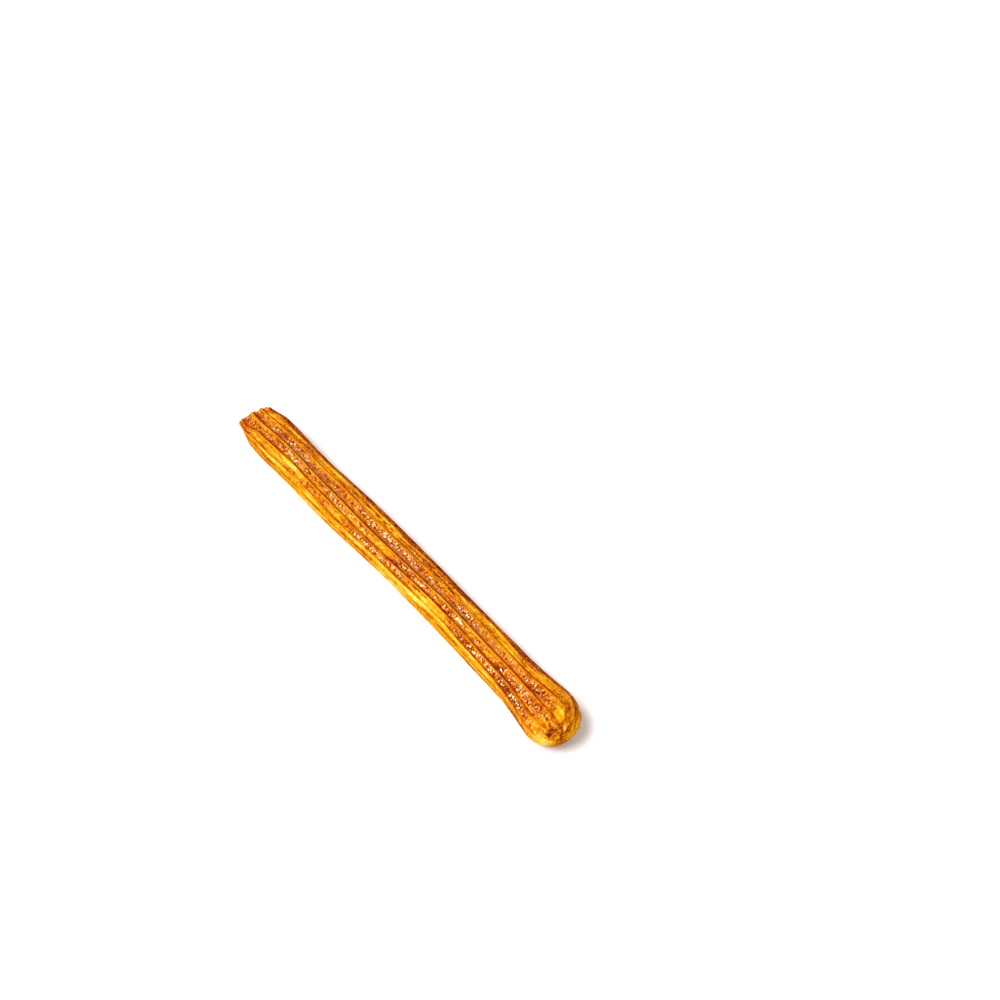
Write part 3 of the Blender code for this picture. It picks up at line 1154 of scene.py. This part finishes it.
@dataclass(frozen=True)
class BakedChoux:
    """Egg-washed baked choux crust.

    The wash browns in the oven to a glossy skin, from golden yellow where the dough stretched late
    to dark red-brown on whatever stands out. It gives the eye small bright glints on a mottled,
    pebbly ground: the gloss on the blisters is real, and their pale near-white colour is a painted
    highlight. Sizes are in mm.
    """

    tones: tuple = (
        (0.00, "#F7D468"),
        (0.12, "#EDBA34"),
        (0.22, "#E4A20E"),
        (0.33, "#D98D04"),
        (0.45, "#C67200"),
        (0.58, "#B05000"),
        (0.72, "#8E2D00"),
        (0.88, "#5C1400"),
    )
    # Painted highlight: the near-white tones of the blister tops stand in for glints.
    blister_glint_tones: tuple = ((0.00, "#B8651A"), (0.45, "#DFA45A"), (1.00, "#FBE4BE"))
    rim_tone: str = "#BC8850"
    rim_share: float = 0.6
    dull_tone: str = "#A16536"
    dull_shades: tuple = (0.35, 0.75)
    dull_shares: tuple = (0.9, 0.3)
    # The charred tone, also painted shade in creases, slits and pits.
    char_tone: str = "#740E00"
    char_share: float = 0.95
    crumb_tone: str = "#D2924E"
    crumb_pitch: tuple = (0.85, 1.2, 1.2)
    crumb_edge: tuple = (0.52, 0.22)
    blister_pitch: tuple = (0.88, 1.5, 1.5)
    blister_reach: tuple = (0.46, 0.66)
    blister_core: float = 0.12
    blister_raggedness: float = 0.25
    blister_chance: float = 0.40
    blister_glint_brightness: tuple = (1.2, 2.7)
    blister_glint_cover: float = 0.5
    # The size and the roughness of each noise.
    grain: tuple = (0.6, 0.6)
    mottle: tuple = (1.5, 0.5)
    noise_detail: float = 2.0
    noise_middle: float = 1.0
    mottling: tuple = (0.45, 1.15)
    # Painted shade, with pooled wash, towards the edges of the blister cells.
    crease_from: float = 0.45
    crease_darkness: float = 0.22
    roughness: tuple = (0.72, 0.30)
    specular: float = 0.01
    coat: tuple = (0.0, 0.7)
    coat_roughness: float = 0.06
    coat_ior: float = 1.6
    bump_between: float = -0.25
    bump_grain: float = 0.06

    def material(self) -> bpy.types.Material:
        """The finish, which reads the crust's ATTRIBUTES.

        Returns:
            The new material.
        """
        material = bpy.data.materials.new("egg-washed choux crust")
        material.use_nodes = True
        tree = material.node_tree
        add = partial(add_node, tree)
        place = add("TexCoord")["Object"]
        read = {name: add("Attribute", attribute_name=name)["Fac"] for name in ATTRIBUTES}
        pebbled = read["pebbled"]
        noise = {"Vector": place, "Detail": self.noise_detail}
        grain, mottle = (
            add("TexNoise", {**noise, "Scale": 1.0 / (size * MM), "Roughness": rough})["Fac"]
            for size, rough in (self.grain, self.mottle)
        )
        cells = []
        for pitch in (self.blister_pitch, self.crumb_pitch):
            scale = tuple(1.0 / (size * MM) for size in pitch)
            stretched = add("VectorMath", {0: place, 1: scale}, operation="MULTIPLY")[0]
            cell = add("TexVoronoi", {"Vector": stretched, "Scale": 1.0, "Randomness": 1.0})
            cells += [cell["Distance"], add("SeparateColor", {0: cell["Color"]})[0]]
        distance, chance, crumb_distance, crumb_chance = cells

        # A blister is the part of a cell near its middle, wider where the crust blistered most.
        # Its pale, near-white colour is a painted highlight standing in for a glint; its gloss is
        # real.
        reach = add("MapRange", mapping(read["blistered"], target=self.blister_reach))[0]
        ragged = {0: grain, 1: self.blister_raggedness, 2: distance}
        ragged = add("Math", ragged, operation="MULTIPLY_ADD")[0]
        blister = add("MapRange", mapping(ragged, (reach, self.blister_core)))[0]
        chosen = add("MapRange", mapping(chance, (0.0, self.blister_chance)))[0]
        for factor in (chosen, pebbled):
            blister = add("Math", {0: blister, 1: factor}, operation="MULTIPLY")[0]
        bright = add("MapRange", mapping(read["blistered"], target=self.blister_glint_brightness))[0]
        blister = add("Math", {0: blister, 1: bright}, operation="MULTIPLY", use_clamp=True)[0]

        # Small dull crumbs of crust fill in between them.
        crumb = add("MapRange", mapping(crumb_distance, self.crumb_edge))[0]
        for factor in (crumb_chance, pebbled):
            crumb = add("Math", {0: crumb, 1: factor}, operation="MULTIPLY")[0]

        # Darker towards the edges of the blister cells: wash pooled between the blisters, and painted
        # shade.
        shade = add("Math", {0: grain, 1: mottle}, operation="ADD")[0]
        shade = add("Math", {0: shade, 1: self.noise_middle}, operation="SUBTRACT")[0]
        mottled = add("MapRange", mapping(pebbled, target=self.mottling))[0]
        shade = add("Math", {0: shade, 1: mottled, 2: read["browning"]}, operation="MULTIPLY_ADD")[0]
        crease = add("Math", {0: distance, 1: self.crease_from}, operation="SUBTRACT")[0]
        crease = add("Math", {0: crease, 1: pebbled}, operation="MULTIPLY")[0]
        shade = {0: crease, 1: self.crease_darkness, 2: shade}
        shade = add("Math", shade, operation="MULTIPLY_ADD")[0]

        # Over it lie the pale rim, the dry places, the charred creases with painted shade in them and
        # in the slits and pits, the crumbs, and the blisters' painted highlights.
        dry = add("MapRange", mapping(shade, self.dull_shades, self.dull_shares))[0]
        shares = {"bloom": self.rim_share, "dull": dry, "char": self.char_share}
        rim, dull, char = (
            add("Math", {0: read[name], 1: share}, operation="MULTIPLY")[0]
            for name, share in shares.items()
        )
        painted_glint_share = add("MapRange", mapping(blister, (0.0, self.blister_glint_cover)))[0]
        # Painted highlight: the blister tops in near-white glint tones.
        painted_glint = add("ValToRGB", {"Fac": blister}, self.blister_glint_tones)["Color"]
        colour = add("ValToRGB", {"Fac": shade}, self.tones)["Color"]
        for share, tone in (
            (rim, linear(self.rim_tone)),
            (dull, linear(self.dull_tone)),
            (char, linear(self.char_tone)),
            (crumb, linear(self.crumb_tone)),
            (painted_glint_share, painted_glint),
        ):
            colour = add("Mix", {0: share, 6: colour, 7: tone}, data_type="RGBA")[2]

        # Only the blisters are glossy. The skin sinks a little between them.
        sunk = add("Math", {0: distance, 1: pebbled}, operation="MULTIPLY")[0]
        sunk = add("Math", {0: sunk, 1: self.bump_between}, operation="MULTIPLY")[0]
        bump = add("Math", {0: grain, 1: self.bump_grain, 2: sunk}, operation="MULTIPLY_ADD")[0]
        feed(tree, tree.nodes["Principled BSDF"], {
            "Base Color": colour,
            "Specular IOR Level": self.specular,
            "Roughness": add("MapRange", mapping(blister, target=self.roughness))[0],
            "Coat Weight": add("MapRange", mapping(blister, target=self.coat))[0],
            "Coat Roughness": self.coat_roughness,
            "Coat IOR": self.coat_ior,
            "Normal": add("Bump", {"Height": bump, "Strength": 1.0, "Distance": MM})[0],
        })
        return material


# ---------------------------------------------------------------- floor, light and camera


@dataclass(frozen=True)
class Lamp:
    """One far-off disc of light: the way to it, how strongly it lights, and how wide it looks.

    A lamp either lights the scene or is there to be mirrored, as small bright glints.
    """

    name: str
    towards: tuple
    strength: float
    spread_degrees: float
    mirrored: bool = False

    def hang(self) -> None:
        """Adds the lamp to the scene."""
        lamp = bpy.data.lights.new(self.name, "SUN")
        lamp.energy = self.strength
        lamp.angle = math.radians(self.spread_degrees)
        light = add_object(self.name, lamp)
        light.rotation_euler = Vector(self.towards).to_track_quat("Z", "Y").to_euler()
        light.visible_diffuse = not self.mirrored
        light.visible_glossy = self.mirrored


@dataclass(frozen=True)
class Studio:
    """A flat white card, a broad key light, small lamps that make glints, and a white fill."""

    floor_half_side: float = 6.0
    floor_tone: str = "#F4F3F2"
    floor_roughness: float = 0.9
    fill_tone: str = "#FFFFFF"
    # How strongly the fill lights, and how strongly it is mirrored.
    fill: tuple = (0.60, 0.04)
    shown_fill: float = 1.0
    lamps: tuple = (
        Lamp("key", (-0.30, -0.32, 0.90), 3.5, 28.0),
        Lamp("front glint", (-0.30, -0.32, 0.90), 1.5, 9.0, True),
        Lamp("side glint", (-0.39, -0.70, 0.60), 3.2, 9.0, True),
        Lamp("top glint", (-0.39, 0.30, 0.87), 3.0, 9.0, True),
        Lamp("back glint", (-0.39, 0.75, 0.53), 2.2, 9.0, True),
    )
    eye: tuple = (0.18221, -0.09801, 0.42911)
    heading: float = 46.9
    dip: float = 60.7
    lens: float = 32.8
    sensor: float = 36.0
    nearest: float = 0.01

    def floor(self) -> bpy.types.Object:
        """One large flat sheet of matt white card.

        Returns:
            The sheet, in the scene.
        """
        corners = np.array([[-1.0, -1.0, 0.0], [1.0, -1.0, 0.0], [1.0, 1.0, 0.0], [-1.0, 1.0, 0.0]])
        card = mesh_of("floor", self.floor_half_side * corners, (np.array([[0, 1, 2, 3]]),))
        sheet = add_object("floor", card)
        material = bpy.data.materials.new("white card")
        material.use_nodes = True
        tree = material.node_tree
        feed(tree, tree.nodes["Principled BSDF"], {
            "Base Color": linear(self.floor_tone),
            "Roughness": self.floor_roughness,
            "Specular IOR Level": 0.0,
        })
        sheet.data.materials.append(material)
        sheet.visible_glossy = False
        return sheet

    def fill_light(self) -> None:
        """A white world that lights softly and shows as plain white."""
        world = bpy.data.worlds.new("studio")
        bpy.context.scene.world = world
        world.use_nodes = True
        tree = world.node_tree
        background = next(node for node in tree.nodes if node.type == "BACKGROUND")
        ray = add_node(tree, "LightPath")
        lit = add_node(tree, "MapRange", mapping(ray["Is Glossy Ray"], target=self.fill))[0]
        strength = {0: ray["Is Camera Ray"], 2: lit, 3: self.shown_fill}
        strength = add_node(tree, "Mix", strength, data_type="FLOAT")[0]
        feed(tree, background, {"Color": linear(self.fill_tone), "Strength": strength})

    def camera(self) -> None:
        """A level camera that looks down at the stick from beyond its round end."""
        data = bpy.data.cameras.new("camera")
        data.lens = self.lens
        data.sensor_width = self.sensor
        data.clip_start = self.nearest
        camera = add_object("camera", data)
        camera.location = self.eye
        camera.rotation_euler = (math.radians(90.0 - self.dip), 0.0, math.radians(self.heading))
        bpy.context.scene.camera = camera

    def set_up(self) -> None:
        """Floor, lights, camera and plain colours."""
        self.floor()
        self.fill_light()
        for lamp in self.lamps:
            lamp.hang()
        self.camera()
        bpy.context.scene.view_settings.view_transform = "Standard"
        log.info("studio: floor, fill, %d lamps and camera", len(self.lamps))


def main() -> None:
    """Builds the crust, dresses it, and sets up the studio."""
    logging.basicConfig(level=logging.INFO, format="%(name)s: %(message)s")
    crust = Crust().build()
    crust.data.materials.append(BakedChoux().material())
    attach(crust, "root")
    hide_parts("churro")
    log.info("crust: %d faces", len(crust.data.polygons))
    Studio().set_up()


if __name__ == "__main__":
    main()
